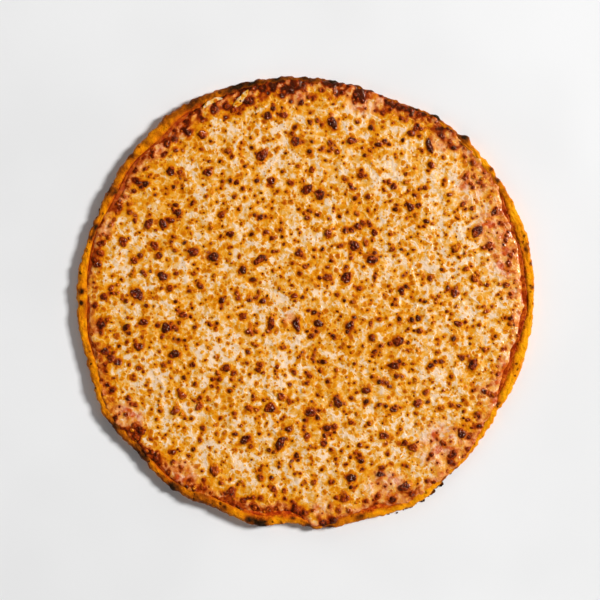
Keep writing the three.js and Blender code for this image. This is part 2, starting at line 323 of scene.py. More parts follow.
def folds(x, y, crest=None):
    """How far the folds of the sheet rise, or how near they are where a height for their crests is given."""
    total = np.zeros_like(x)
    for width, rise, *line in FOLDS:
        away = np.full_like(x, 1e9)
        for (x0, y0), (x1, y1) in zip(line, line[1:]):
            run = (x1 - x0, y1 - y0)
            t = np.clip(((x - x0) * run[0] + (y - y0) * run[1]) / (run[0] ** 2 + run[1] ** 2), 0, 1)
            away = np.minimum(away, np.hypot(x - x0 - t * run[0], y - y0 - t * run[1]))
        total = np.maximum(total, (crest or rise) * np.exp(-((away / (0.5 * width)) ** 2)))
    return total


def cheese_surface(x, y, rough):
    """The melted sheet without blisters: its height, its rounding at the edge and the way in from there."""
    bearing, radius = np.arctan2(y, x), np.hypot(x, y)
    edge, groove = cheese_border(bearing)
    inset = edge - radius
    lip = np.sqrt(1 - (1 - np.clip(inset / (LIP_WIDTH + 2 * groove), 0, 1)) ** 2)
    low = 0.8 - 0.2 * groove
    height = SAUCE_TOP + (CHEESE_THICKNESS + CHEESE_WAVE * melt_wave(x, y)) * (low + (1 - low) * lip)
    on_rim = rim_surface(bearing, radius) - 0.4 + 0.75 * lip + 0.35 * lattice(x, y, 5, 17)
    height = np.maximum(height, on_rim)
    drift_x, drift_y = x + 4 * lattice(x, y, 14, 11), y + 4 * lattice(x, y, 14, 12)
    shreds = 0.7 - 2 * np.abs(lattice(drift_x, drift_y, 10, 13))
    small = 0.7 - 2 * np.abs(lattice(drift_x, drift_y, 4.6, 14))
    height += rough * lip * (
        0.6 * lattice(x, y, 11, 15) + 0.35 * shreds + 0.24 * small + 0.12 * lattice(x, y, 2.7, 16)
    )
    return height + folds(x, y), lip, inset


def knobbly(x, y, size, seed):
    """Rounded knobs, 1 at their tops and 0 in the creases between them, a size in millimetres apart."""
    shake_x, shake_y = np.random.default_rng(seed).uniform(0.1, 0.9, (2, CELLS, CELLS))
    u, v = x / size + 10 * CELLS, y / size + 10 * CELLS
    i, j = np.floor(u).astype(int), np.floor(v).astype(int)
    nearest = np.full_like(x, 0.5)
    for a in (-1, 0, 1):
        for b in (-1, 0, 1):
            cell = ((i + a) % CELLS, (j + b) % CELLS)
            away = (u - i - a - shake_x[cell]) ** 2 + (v - j - b - shake_y[cell]) ** 2
            nearest = np.minimum(nearest, away)
    return 1 - 2 * nearest


def under_ceiling(height):
    """Heights that ease off below the highest point that the pizza may reach."""
    over = np.maximum(height - (HIGHEST - 1.0), 0)
    return np.minimum(height, HIGHEST - 1.0) + 1 - np.exp(-over)


def lattice(x, y, size, seed):
    """Smooth gradient noise from about -1 to 1 over the plane, with features of a size in millimetres."""
    lean = np.random.default_rng(seed).uniform(0, TURN, (CELLS, CELLS))
    u, v = (value / size + 10 * CELLS for value in turned(x, y, seed))
    i, j = np.floor(u).astype(int), np.floor(v).astype(int)
    s, t = u - i, v - j

    def corner(a, b):
        angle = lean[(i + a) % CELLS, (j + b) % CELLS]
        return np.cos(angle) * (s - a) + np.sin(angle) * (t - b)

    fade_s, fade_t = smooth(0, 1, s), smooth(0, 1, t)
    near = corner(0, 0) * (1 - fade_s) + corner(1, 0) * fade_s
    far = corner(0, 1) * (1 - fade_s) + corner(1, 1) * fade_s
    return 1.7 * (near * (1 - fade_t) + far * fade_t)


# ---------------------------------------------------------------- blisters


def scattered(count, size, reach, shake, stream):
    """Blisters spread evenly by the golden angle and then shaken: [x, y, length, width, heading]."""
    found = []
    for n in range(count):
        bearing = n * GOLDEN_ANGLE
        edge = float(cheese_edge(np.array([bearing]))[0]) - reach
        spacing = edge * math.sqrt(math.pi / count)
        radius = edge * math.sqrt((n + 0.5) / count)
        pull = spacing * shake * min(1, (edge - radius) / spacing)
        x = radius * math.cos(bearing) + pull * (draw(n, stream + 1) - 0.5)
        y = radius * math.sin(bearing) + pull * (draw(n, stream + 2) - 0.5)
        length = size[0] + (size[1] - size[0]) * draw(n, stream + 3) ** 2
        found.append((x, y, length, length * (0.72 + 0.25 * draw(n, stream + 4)), 180 * draw(n, stream + 5)))
    return found


def clear_of(blisters, kept, share):
    """Those that don't crowd the kept ones."""
    return [
        blister for blister in blisters
        if all(math.hypot(blister[0] - b[0], blister[1] - b[1]) >= share * (blister[2] + b[2]) for b in kept)
    ]


def large_blisters():
    """The blisters that stand out on the sheet: [x, y, length, width, heading, darkness]."""
    large = [
        (x, y, 0.86 * length, 0.8 * width, heading, 1.0) for x, y, length, width, heading in LARGE_BLISTERS
    ]
    marks = [
        (x, y, size, 0.85 * size, 180 * draw(n, 40), dark)
        for n, (x, y, size, dark) in enumerate(LANDMARK_BLISTERS)
    ]
    medium = clear_of(scattered(BLISTER_COUNT, BLISTER_SIZE, BLISTER_MARGIN, 0.6, 0), large, 0.6)
    medium = [(*blister, 0.55 + 0.45 * draw(n, 21)) for n, blister in enumerate(medium)]
    twins = []
    for n, (x, y, length, width, heading, dark) in enumerate(marks + medium):
        if draw(n, 71) < 0.45:
            turn = TURN * draw(n, 72)
            size = length * (0.5 + 0.35 * draw(n, 73))
            away = 0.55 * (length + size)
            place = (x + away * math.cos(turn), y + away * math.sin(turn))
            twins.append((*place, size, size * 0.85, heading, dark * 0.9))
    return large + marks + medium + twins


def fine_blisters(kept):
    """The small blisters between the large ones, in the same form."""
    fine = scattered(FINE_COUNT, FINE_SIZE, FINE_MARGIN, 1.6, 50)
    found = []
    for n, blister in enumerate(clear_of(fine, kept, 0.36)):
        if draw(n, 60) > 0.12 and clear_of([blister], found[-1:], 0.3):
            found.append((*blister, min(1, 0.18 + 0.75 * draw(n, 61) + 0.08 * (blister[2] - 2))))
    return found


def edge_blisters():
    """Blisters along the ragged border of the sheet, in the same form."""
    found = []
    for n in range(EDGE_COUNT):
        bearing = np.array([TURN * (n + 0.8 * draw(n, 101)) / EDGE_COUNT])
        size = 2.2 + 3.6 * draw(n, 102) ** 2
        radius = float(cheese_border(bearing)[0][0]) - 0.4 * size - 8 * draw(n, 103)
        x, y = radius * math.cos(bearing[0]), radius * math.sin(bearing[0])
        if draw(n, 104) < 0.8:
            width = size * (0.7 + 0.25 * draw(n, 105))
            found.append((x, y, size, width, 180 * draw(n, 106), 0.2 + 0.7 * draw(n, 107)))
    return found


def brown_halos(x, y, blisters):
    """How far the sheet swells and bakes round its blisters."""
    order = np.argsort(x)
    sorted_x = x[order]
    swell = np.zeros_like(x)
    bake = np.zeros_like(x)
    for bx, by, length, width, heading, dark in blisters:
        reach = 0.5 * length + 5
        first, last = np.searchsorted(sorted_x, (bx - reach, bx + reach))
        at = order[first:last]
        at = at[np.abs(y[at] - by) < reach]
        along, across = turned(x[at] - bx, y[at] - by, -radians(heading))
        q = np.hypot(along / (0.5 * length), across / (0.5 * width))
        outside = (q - 1) * 0.25 * (length + width)
        swell[at] = np.maximum(swell[at], 0.08 * width * (1 - smooth(-0.2 * length, 0.25 * length, outside)))
        halo = 1.3 + 0.2 * length
        baked = (0.3 + 0.1 * dark) * (1 - smooth(-0.2, 1, outside / halo)) ** 0.7
        bake[at] = np.minimum(bake[at] + baked, np.maximum(0.46, np.maximum(bake[at], baked)))
    return swell, bake


# ---------------------------------------------------------------- settings


class PizzaSizes(bpy.types.PropertyGroup):
    """How finely the pizza's pieces are modelled, and how strong their relief is."""

    rim_segments: IntProperty(
        name="Rim segments", description="Steps round the crust", default=900, min=180, max=1000
    )
    sheet_cells: IntProperty(
        name="Sheet cells", description="Cells across the melted cheese", default=294, min=80, max=300
    )
    cheese_lumps: FloatProperty(
        name="Cheese lumps", description="Rise of the melted lumps and shreds", default=0.75 * MM,
        subtype="DISTANCE", unit="LENGTH", precision=5,
    )
    dough_lumps: FloatProperty(
        name="Dough lumps", description="Rise of the small lumps of the baked rim", default=1.0 * MM,
        subtype="DISTANCE", unit="LENGTH", precision=5,
    )


def colour(name, description, default):
    return FloatVectorProperty(
        name=name, description=description, default=default, subtype="COLOR", size=3, min=0, max=1
    )


def shade(red, green, blue):
    """A colour given in display numbers from 0 to 255, as the linear one that a shader takes."""
    parts = [value / 255 for value in (red, green, blue)]
    return tuple(p / 12.92 if p <= 0.04045 else ((p + 0.055) / 1.055) ** 2.4 for p in parts)


class PizzaColours(bpy.types.PropertyGroup):
    """The pizza's baked colours."""

    milk: colour("Milk", "Palest melted cheese", shade(247, 213, 179))
    cream: colour("Cream", "Plain melted cheese", shade(242, 196, 135))
    tan: colour("Tan", "Oily melted cheese", shade(240, 180, 92))
    amber: colour("Amber", "Cheese that begins to brown", shade(226, 134, 3))
    brown: colour("Brown", "Browned skin of a blister", shade(154, 50, 2))
    char: colour("Char", "Darkest middle of a blister", shade(68, 16, 2))
    blush: colour("Blush", "Cheese mixed with sauce", shade(242, 170, 128))
    sauce: colour("Sauce", "Cooked tomato sauce", shade(186, 65, 8))
    dough: colour("Dough", "Baked rim", shade(236, 142, 4))
    toast: colour("Toast", "Browned rim", shade(158, 76, 5))
    floor: colour("Floor", "Plain floor under the pizza", shade(240, 240, 240))


class PizzaSettings(bpy.types.PropertyGroup):
    """All of the pizza's settings."""

    sizes: PointerProperty(type=PizzaSizes, name="Sizes", description="Fineness and relief")
    colours: PointerProperty(type=PizzaColours, name="Colours", description="Baked colours")


# ---------------------------------------------------------------- shader helpers


def put(tree, kind, inputs=None, **settings):
    """Adds a node with its settings, values and links."""
    made = tree.nodes.new(kind)
    for name, value in settings.items():
        setattr(made, name, value)
    for name, value in (inputs or {}).items():
        if isinstance(value, bpy.types.NodeSocket):
            tree.links.new(value, made.inputs[name])
        else:
            made.inputs[name].default_value = value
    return made


def calc(tree, operation, first, second=0.0, third=0.0):
    return put(tree, "ShaderNodeMath", {0: first, 1: second, 2: third}, operation=operation).outputs[0]


def plus(tree, total, part, share, middle=0.0):
    """The total with a share of a part, which is counted from its middle value."""
    if middle:
        part = calc(tree, "SUBTRACT", part, middle)
    return calc(tree, "MULTIPLY_ADD", part, share, total)


def feed(tree, node, sockets):
    """Links sockets to a node's inputs by the names of the inputs."""
    for name, socket in sockets.items():
        tree.links.new(socket, node.inputs[name])


def blend(tree, share, first, second):
    """Mixes two colours, each a socket or a linear colour."""
    inputs = {0: share}
    for place, paint in ((6, first), (7, second)):
        inputs[place] = paint if isinstance(paint, bpy.types.NodeSocket) else (*paint[:3], 1)
    return put(tree, "ShaderNodeMix", inputs, data_type="RGBA").outputs[2]


def step(tree, value, low, high, start=0.0, end=1.0):
    inputs = {"Value": value, "From Min": low, "From Max": high, "To Min": start, "To Max": end}
    return put(tree, "ShaderNodeMapRange", inputs, interpolation_type="SMOOTHSTEP").outputs["Result"]


def ramp(tree, value, stops):
    """A colour ramp through [place, linear colour] stops."""
    made = put(tree, "ShaderNodeValToRGB", {"Fac": value})
    elements = made.color_ramp.elements
    while len(elements) < len(stops):
        elements.new(0.5)
    for element, (place, paint) in zip(elements, stops):
        element.position = place
        element.color = (*paint[:3], 1)
    return made.outputs["Color"]


def cloud(tree, vector, scale, detail=2.0, roughness=0.5):
    """Noise from 0 to 1, with features one in scale of a metre."""
    inputs = {"Vector": vector, "Scale": scale, "Detail": detail, "Roughness": roughness}
    return put(tree, "ShaderNodeTexNoise", inputs)


def attribute(tree, name):
    return put(tree, "ShaderNodeAttribute", attribute_name=name).outputs["Fac"]


def new_group(name, inputs, outputs):
    """An empty shader group with its named sockets: returns the tree, its inputs and its output node."""
    tree = bpy.data.node_groups.new(name, "ShaderNodeTree")
    for title, kind, default in inputs:
        socket = tree.interface.new_socket(title, in_out="INPUT", socket_type=kind)
        if default is not None:
            socket.default_value = default
    for title, kind in outputs:
        tree.interface.new_socket(title, in_out="OUTPUT", socket_type=kind)
    return tree, tree.nodes.new("NodeGroupInput").outputs, tree.nodes.new("NodeGroupOutput")


def wobble(tree, vector, scale, distance):
    """The coordinates, pushed about so that round shapes turn uneven."""
    push = cloud(tree, vector, scale, 2).outputs["Color"]
    push = put(tree, "ShaderNodeVectorMath", {0: push, 1: (0.5, 0.5, 0.5)}, operation="SUBTRACT").outputs[0]
    push = put(tree, "ShaderNodeVectorMath", {0: push, "Scale": distance}, operation="SCALE").outputs[0]
    return put(tree, "ShaderNodeVectorMath", {0: vector, 1: push}, operation="ADD").outputs[0]


def dots(tree, vector, scale, smallest, largest):
    """Scattered dots of mixed size: how far a point is inside one, and the dot's own random number."""
    cells = put(tree, "ShaderNodeTexVoronoi", {"Vector": vector, "Scale": scale})
    luck = put(tree, "ShaderNodeSeparateColor", {"Color": cells.outputs["Color"]}).outputs
    size = {"Value": luck["Red"], "To Min": smallest, "To Max": largest}
    radius = put(tree, "ShaderNodeMapRange", size).outputs["Result"]
    inside = calc(tree, "SUBTRACT", 1, calc(tree, "DIVIDE", cells.outputs["Distance"], radius))
    return calc(tree, "MAXIMUM", inside, 0), luck["Green"]


def melted_cheese():
    """Shader group: the colour, roughness and fine relief of baked cheese."""
    if "Melted Cheese" in bpy.data.node_groups:
        return bpy.data.node_groups["Melted Cheese"]
    colours = bpy.context.scene.pizza.colours
    tree, given, out = new_group(
        "Melted Cheese",
        [
            ("Vector", "NodeSocketVector", None), ("Bake", "NodeSocketFloat", 0.0),
            ("Sauce", "NodeSocketFloat", 0.0), ("Amount", "NodeSocketFloat", 1.0),
        ],
        [("Color", "NodeSocketColor"), ("Roughness", "NodeSocketFloat"), ("Height", "NodeSocketFloat")],
    )
    place = wobble(tree, wobble(tree, given["Vector"], 300, 0.002), 900, 0.0006)
    mottle = cloud(tree, given["Vector"], 40, 3, 0.6).outputs["Fac"]
    stain = cloud(tree, place, 210, 2, 0.5).outputs["Fac"]
    grit = cloud(tree, given["Vector"], 1000, 2, 0.6).outputs["Fac"]
    domes = []
    for scale, smallest, largest, gain, least in ((190, 0.18, 0.58, 0.36, 0.1), (340, 0.2, 0.5, 0.3, 0.12)):
        inside, luck = dots(tree, place, scale, smallest, largest)
        dome = plus(tree, step(tree, inside, 0.0, 0.24, 0.0, 0.6), inside, 0.7)
        domes.append(calc(tree, "MULTIPLY", dome, calc(tree, "MULTIPLY_ADD", luck, gain, least)))
    spots = calc(tree, "MULTIPLY", calc(tree, "MAXIMUM", *domes), given["Amount"])

    total = plus(tree, given["Bake"], mottle, 0.8, 0.325)
    total = plus(tree, total, stain, 0.85, 0.5)
    total = plus(tree, total, spots, step(tree, total, 0.6, 0.15))
    total = plus(tree, total, grit, 0.05, 0.5)
    cells = put(tree, "ShaderNodeTexVoronoi", {"Vector": place, "Scale": 560.0}).outputs["Distance"]
    blistered = calc(tree, "SUBTRACT", 1, given["Amount"])
    crease_depth_and_shade = calc(tree, "MULTIPLY", calc(tree, "POWER", cells, 2), blistered)
    # Painted shade: the creases between the small knobs of a blister are darkened in colour, as well as sunk
    # by the bump below
    total = plus(tree, total, crease_depth_and_shade, 0.16)

    pale = cloud(tree, place, 150, 3, 0.55).outputs["Fac"]
    crests = []
    for scale, width in ((90, 0.06), (170, 0.07)):
        fold = calc(tree, "SUBTRACT", cloud(tree, place, scale, 1).outputs["Fac"], 0.5)
        crests.append(step(tree, calc(tree, "ABSOLUTE", fold), width, 0.0))
    pale_streak_and_sheen = calc(tree, "MULTIPLY", crests[0], step(tree, pale, 0.42, 0.56))
    pale_streak_and_sheen = calc(tree, "MULTIPLY", plus(tree, pale_streak_and_sheen, crests[1], 0.6), given["Amount"])
    # The streaks are painted paler: partly paler cheese, partly a painted highlight along their crests
    total = plus(tree, total, pale_streak_and_sheen, -0.2)
    paint = ramp(
        tree, total,
        [
            (0.0, colours.milk), (0.06, colours.cream), (0.14, colours.tan), (0.22, shade(237, 163, 46)),
            (0.3, shade(231, 149, 16)), (0.38, colours.amber), (0.5, shade(206, 108, 4)),
            (0.62, shade(180, 76, 3)), (0.74, colours.brown), (0.87, shade(116, 31, 2)), (1.0, colours.char),
        ],
    )
    redness = plus(tree, given["Sauce"], stain, 2.4, 0.5)
    saucy = blend(tree, step(tree, redness, 0.35, 1.15), colours.blush, shade(198, 72, 20))
    mixed = calc(tree, "MULTIPLY", given["Sauce"], step(tree, total, 0.7, 0.4))
    mixed = calc(tree, "MULTIPLY", mixed, step(tree, pale, 0.35, 0.6, 0.35, 1.0))
    paint = blend(tree, mixed, paint, saucy)

    relief = calc(tree, "MULTIPLY", spots, 0.5)
    for part, share in ((stain, 0.5), (grit, 0.1), (crease_depth_and_shade, -0.9), (pale_streak_and_sheen, 0.14)):
        relief = plus(tree, relief, part, share)
    feed(tree, out, {"Color": paint, "Roughness": stain, "Height": relief})
    return tree


def new_material(name, values):
    """A material with its Principled shader, whose plain values are set on its own sockets."""
    material = bpy.data.materials.new(name)
    material.use_nodes = True
    tree = material.node_tree
    shader = tree.nodes["Principled BSDF"]
    for title, value in values.items():
        shader.inputs[title].default_value = value
    return material, tree, shader, put(tree, "ShaderNodeTexCoord").outputs["Object"]


def bump(tree, height, distance):
    inputs = {"Height": height, "Distance": distance, "Strength": 1.0}
    return put(tree, "ShaderNodeBump", inputs).outputs["Normal"]


def cheese_material(name, amount, gloss, tint, oil, blur):
    """Baked cheese with its amount of dots, least roughness, tint of its shine, oil and the oil's blur."""
    shine = {
        "Specular IOR Level": 0.4, "Specular Tint": tint, "Coat Weight": oil, "Coat Roughness": blur,
        "Subsurface Weight": 0.25, "Subsurface Radius": (1.0, 0.8, 0.6), "Subsurface Scale": 0.0015,
    }
    material, tree, shader, vector = new_material(name, shine)
    inputs = {
        "Vector": vector, "Amount": amount,
        "Bake": attribute(tree, "bake"), "Sauce": attribute(tree, "sauce"),
    }
    look = put(tree, "ShaderNodeGroup", inputs, node_tree=melted_cheese()).outputs
    rough = calc(tree, "MULTIPLY_ADD", look["Roughness"], 0.3, gloss)
    normal = bump(tree, look["Height"], 0.001)
    feed(tree, shader, {
        "Base Color": look["Color"], "Roughness": rough, "Normal": normal, "Coat Normal": normal,
    })
    return material


def crust_material():
    colours = bpy.context.scene.pizza.colours
    shine = {"Specular IOR Level": 0.25, "Specular Tint": (1.0, 0.55, 0.12, 1.0)}
    material, tree, shader, vector = new_material("Baked dough", shine)
    crumb = cloud(tree, vector, 300, 4, 0.65).outputs["Fac"]
    patch = cloud(tree, vector, 60, 3, 0.6).outputs["Fac"]
    inside, luck = dots(tree, wobble(tree, vector, 400, 0.0025), 210, 0.1, 0.36)
    pits = calc(tree, "MULTIPLY", step(tree, inside, 0.0, 0.4), step(tree, luck, 0.35, 0.9))
    total = calc(tree, "SUBTRACT", attribute(tree, "bake"), 0.42)
    for part, share in ((patch, 0.5), (crumb, 0.55), (pits, 0.34)):
        total = plus(tree, total, part, share)
    paint = ramp(
        tree, total,
        [
            (0.0, shade(247, 162, 8)), (0.18, colours.dough), (0.34, shade(206, 112, 4)),
            (0.5, colours.toast), (0.68, shade(98, 42, 6)), (0.9, shade(32, 15, 8)),
        ],
    )
    ripe = step(tree, crumb, 0.35, 0.65)
    red = blend(tree, ripe, shade(178, 48, 4), shade(226, 112, 10))
    stained = calc(tree, "MULTIPLY", attribute(tree, "sauce"), step(tree, patch, 0.25, 0.5))
    rough = step(tree, crumb, 0.2, 0.8, 0.45, 0.8)
    height = plus(tree, crumb, cloud(tree, vector, 900, 3, 0.6).outputs["Fac"], 0.4)
    normal = bump(tree, plus(tree, height, pits, -1.2), 0.0013)
    feed(tree, shader, {
        "Base Color": blend(tree, stained, paint, red), "Roughness": rough, "Normal": normal,
    })
    return material


def sauce_material():
    colours = bpy.context.scene.pizza.colours
    shine = {"Specular IOR Level": 0.3, "Specular Tint": (1.0, 0.5, 0.2, 1.0)}
    material, tree, shader, vector = new_material("Tomato sauce", shine)
    pulp = cloud(tree, vector, 240, 3, 0.6).outputs["Fac"]
    paint = ramp(tree, pulp, [(0.34, shade(148, 34, 4)), (0.5, colours.sauce), (0.66, shade(224, 112, 16))])
    # Painted shade: the sauce turns a darker red where its bake share is high, on the side turned away from
    # the key light
    paint = blend(tree, attribute(tree, "bake"), paint, shade(122, 38, 5))
    rough = step(tree, pulp, 0.3, 0.7, 0.35, 0.6)
    feed(tree, shader, {"Base Color": paint, "Roughness": rough, "Normal": bump(tree, pulp, 0.0012)})
    return material


# ---------------------------------------------------------------- modelling helpers


def deselect():
    """Deselects all, so that a new primitive alone is selected."""
    if bpy.context.object and bpy.context.object.mode != "OBJECT":
        bpy.ops.object.mode_set(mode="OBJECT")
    bpy.ops.object.select_all(action="DESELECT")


def name_piece(name):
    piece = bpy.context.object
    piece.name = name
    piece.data.name = name
    return piece


def points_of(piece):
    flat = np.empty(len(piece.data.vertices) * 3)
    piece.data.vertices.foreach_get("co", flat)
    return flat.reshape(-1, 3)


def place_points(piece, points):
    piece.data.vertices.foreach_set("co", points.ravel())
    piece.data.update()


def fill(piece, points):
    """Gives a piece the points of many copies of its present shape, each with the same faces."""
    size = len(piece.data.vertices)
    faces = [tuple(face.vertices) for face in piece.data.polygons]
    copies = [tuple(v + first for v in face) for first in range(0, len(points), size) for face in faces]
    piece.data.clear_geometry()
    piece.data.from_pydata(points.tolist(), [], copies)
    piece.data.update()


def set_attributes(piece, **shares):
    """Gives each point the shares that the materials read, such as how baked it is."""
    for name, values in shares.items():
        values = np.broadcast_to(values, len(piece.data.vertices)).astype(np.float32)
        piece.data.attributes.new(name, "FLOAT", "POINT").data.foreach_set("value", values)


def finish_piece(piece, material, slot, *nodes):
    piece.data.materials.clear()
    piece.data.materials.append(material)
    bpy.ops.object.shade_smooth()
    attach(piece, "root")
    if nodes:
        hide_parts(*nodes)


def centred(x, y, z):
    """Points measured from the middle of the toppings, in millimetres, as metres in the frame."""
    return np.column_stack((x + MIDDLE[0], y + MIDDLE[1], z)) * MM


def new_ball(name, segments, rings):
    """A ball of radius 1 that is shaped afterwards, and its points."""
    deselect()
    bpy.ops.mesh.primitive_uv_sphere_add(segments=segments, ring_count=rings, radius=1)
    piece = name_piece(name)
    return piece, points_of(piece)


def ring_piece(name, rings, place):
    """A closed piece of rings round the Z axis. place(station, bearing) gives radius and height, with the
    station from 0 at the middle of the underside to 1 at the middle of the top."""
    piece, points = new_ball(name, bpy.context.scene.pizza.sizes.rim_segments, rings)
    station = 1 - np.arccos(np.clip(points[:, 2], -1, 1)) / math.pi
    bearing = np.arctan2(points[:, 1], points[:, 0])
    radius, height = place(station, bearing)
    place_points(piece, centred(radius * np.cos(bearing), radius * np.sin(bearing), height))
    return piece, station, bearing


def weigh(piece, group, weights):
    """Gives a piece a vertex group, with its weights in twentieths."""
    made = piece.vertex_groups.new(name=group)
    levels = np.round(20 * weights).astype(int)
    for level in range(1, 21):
        made.add(np.flatnonzero(levels == level).tolist(), level / 20, "REPLACE")


def roughen(piece, size, rise, group):
    """Pushes a piece's surface in and out by cloudy lumps of a size, as far as its vertex group goes."""
    lumps = bpy.data.textures.new(f"{piece.name} lumps", "CLOUDS")
    lumps.noise_scale = size
    lumps.noise_basis = "IMPROVED_PERLIN"
    modifier = piece.modifiers.new("Lumps", "DISPLACE")
    modifier.texture = lumps
    modifier.texture_coords = "LOCAL"
    modifier.strength = 2 * rise
    modifier.mid_level = 0.5
    modifier.vertex_group = group
    bpy.ops.object.modifier_apply(modifier=modifier.name)


# ---------------------------------------------------------------- the pieces


class PIZZA_OT_crust(bpy.types.Operator):
    """Bakes the dough base with its uneven raised rim"""

    bl_idname = "pizza.crust"
    bl_label = "Bake the Crust"

    def execute(self, context):
        sizes = context.scene.pizza.sizes
        stops = np.array([0, 0.12, 0.2, 0.3, 0.4, 0.5, 0.6, 0.72, 0.84, 0.88, 1.0])

        def curve(values, station):
            """Catmull-Rom through the values at the stops."""
            values = np.array(values, float)
            at = np.clip(np.searchsorted(stops, station, side="right") - 1, 0, len(stops) - 2)
            t = (station - stops[at]) / (stops[at + 1] - stops[at])
            before, after = values[np.maximum(at - 1, 0)], values[np.minimum(at + 2, len(stops) - 1)]
            a, b = values[at], values[at + 1]
            return 0.5 * (
                2 * a + (b - before) * t + (2 * before - 5 * a + 4 * b - after) * t**2
                + (3 * a - before - 3 * b + after) * t**3
            )

        def place(station, bearing):
            inset = curve([FOOT_INSET, FOOT_INSET, 1.7, 0, 0.5, 0.6, 0.3, 0, 0, 0, 0], station)
            rim = curve([0, 0, 0, 0, 0.03, 0.16, 0.4, 0.72, 1.0, 1.1, 1.3], station)
            share = np.maximum(curve([0, 0, 0.13, 0.44, 0.84, 0.97, 1, 1, 0.97, 0.9, 0.5], station), 0)
            reach = np.clip(station / 0.12, 0, 1) * np.clip((1 - station) / 0.1, 0, 1)
            x, y = RIM_RADIUS * np.cos(bearing), RIM_RADIUS * np.sin(bearing)
            edge = outline(bearing) + (1 - rim) * bubble_swell(bearing) - inset - rim * bare_rim(bearing)
            edge += (0.8 * lattice(x, y, 9, 31) + 0.8 * lattice(x, y, 4, 33)) * (1 - rim) * (station > 0.13)
            height = share * (crown_height(bearing) + 0.3 * lattice(x, y, 12, 32))
            height -= groove_at(bearing) * smooth(0.76, 0.86, station) * 0.25
            height = np.where(station < 0.121, 0, height)
            height = np.where(station > 0.88, BASE_THICKNESS, height)
            return edge * reach, height

        piece, station, bearing = ring_piece("baked_crust", RIM_RINGS, place)
        weigh(piece, "rim", smooth(0.13, 0.2, station) * (1 - smooth(0.86, 0.88, station)))
        for size, rise in ((8, 1.0), (3.9, 1.1), (2.3, 0.6)):
            roughen(piece, size * MM, rise * sizes.dough_lumps, "rim")
        points = points_of(piece)
        points[:, 2] = np.clip(points[:, 2], 0, HIGHEST * MM)
        place_points(piece, points)

        x, y = points[:, 0] / MM - MIDDLE[0], points[:, 1] / MM - MIDDLE[1]
        bake = 0.12 * smooth(0.35, 0.2, station) + 0.3 * (station < 0.12)
        for degrees, rim, width, dark in RIM_MARKS:
            turn = np.array([radians(degrees)])
            middle = outline(turn)[0] - rim * bare_rim(turn)[0]
            away = np.hypot(x - middle * math.cos(turn[0]), y - middle * math.sin(turn[0]))
            bake += dark * np.exp(-((away / (0.55 * width)) ** 2)) * (1 + 0.5 * lattice(x, y, 3, 34))
        inward = smooth(0.5, 0.84, station + 0.06 * lattice(x, y, 6, 35))
        # Painted light: the inner slope of the rim is painted a little lighter against the shade that falls
        # on it, with random browning over it
        bake += inward * (0.25 * lattice(x, y, 5, 36) - 0.06)
        # The rim is browned by bearing, and this also paints shade on the sides turned away from the key
        # light
        bake += 0.1 * lattice(x, y, 14, 37) + around(RIM_TOAST_AND_SHADE, bearing) * smooth(0.2, 0.4, station)
        far = 0.09 * smooth(0.2, 0.8, -np.cos(bearing))
        wet = smooth(0.66, 0.86, station - far + 0.07 * lattice(x, y, 6, 38) + 0.05 * lattice(x, y, 3, 39))
        groove = smooth(0.4, 2.4, around(SAUCE_LINE, bearing))
        set_attributes(piece, bake=bake, sauce=np.clip(wet * (0.4 + 0.6 * groove), 0, 1))
        finish_piece(piece, crust_material(), "crust", "crust")
        return {"FINISHED"}


class PIZZA_OT_sauce(bpy.types.Operator):
    """Spreads the tomato sauce inside the rim"""

    bl_idname = "pizza.sauce"
    bl_label = "Spread the Sauce"

    def execute(self, context):
        def place(station, bearing):
            stops, top = [0, 0.2, 0.4, 0.55, 0.75, 1], SAUCE_TOP
            groove = groove_at(bearing)
            bead = np.minimum(SAUCE_BEAD + 2.2 * groove, 0.97 * crown_height(bearing) - 0.6 - top)
            inset = np.interp(station, stops, [0, 0, 0, 0.4 * SAUCE_BEAD_WIDTH, SAUCE_BEAD_WIDTH + 1.5, 8])
            inset += 2 * groove * np.interp(station, stops, [0, 0, 0, 0, 1, 0])
            height = np.interp(station, stops, [BASE_THICKNESS, BASE_THICKNESS, top, top, top, top])
            height += bead * np.interp(station, stops, [0, 0, 0.6, 1, 0, 0])
            height += groove * np.interp(station, stops, [0, 0, 0, 0, 2.1, 0])
            reach = np.clip(station / 0.2, 0, 1) * np.clip((1 - station) / 0.08, 0, 1)
            return reach * (sauce_edge(bearing) - inset), height

        piece, station, bearing = ring_piece("tomato_sauce", SAUCE_RINGS, place)
        weigh(piece, "pulpy", smooth(0.4, 0.55, station) * smooth(1.0, 0.9, station))
        roughen(piece, 4 * MM, 0.4 * MM, "pulpy")
        # Painted shade: the bake share darkens the sauce towards the left, the side turned away from the key
        # light
        set_attributes(piece, bake=0.6 * smooth(0.2, 0.8, -np.cos(bearing)))
        finish_piece(piece, sauce_material(), "sauce", "sauce")
        return {"FINISHED"}


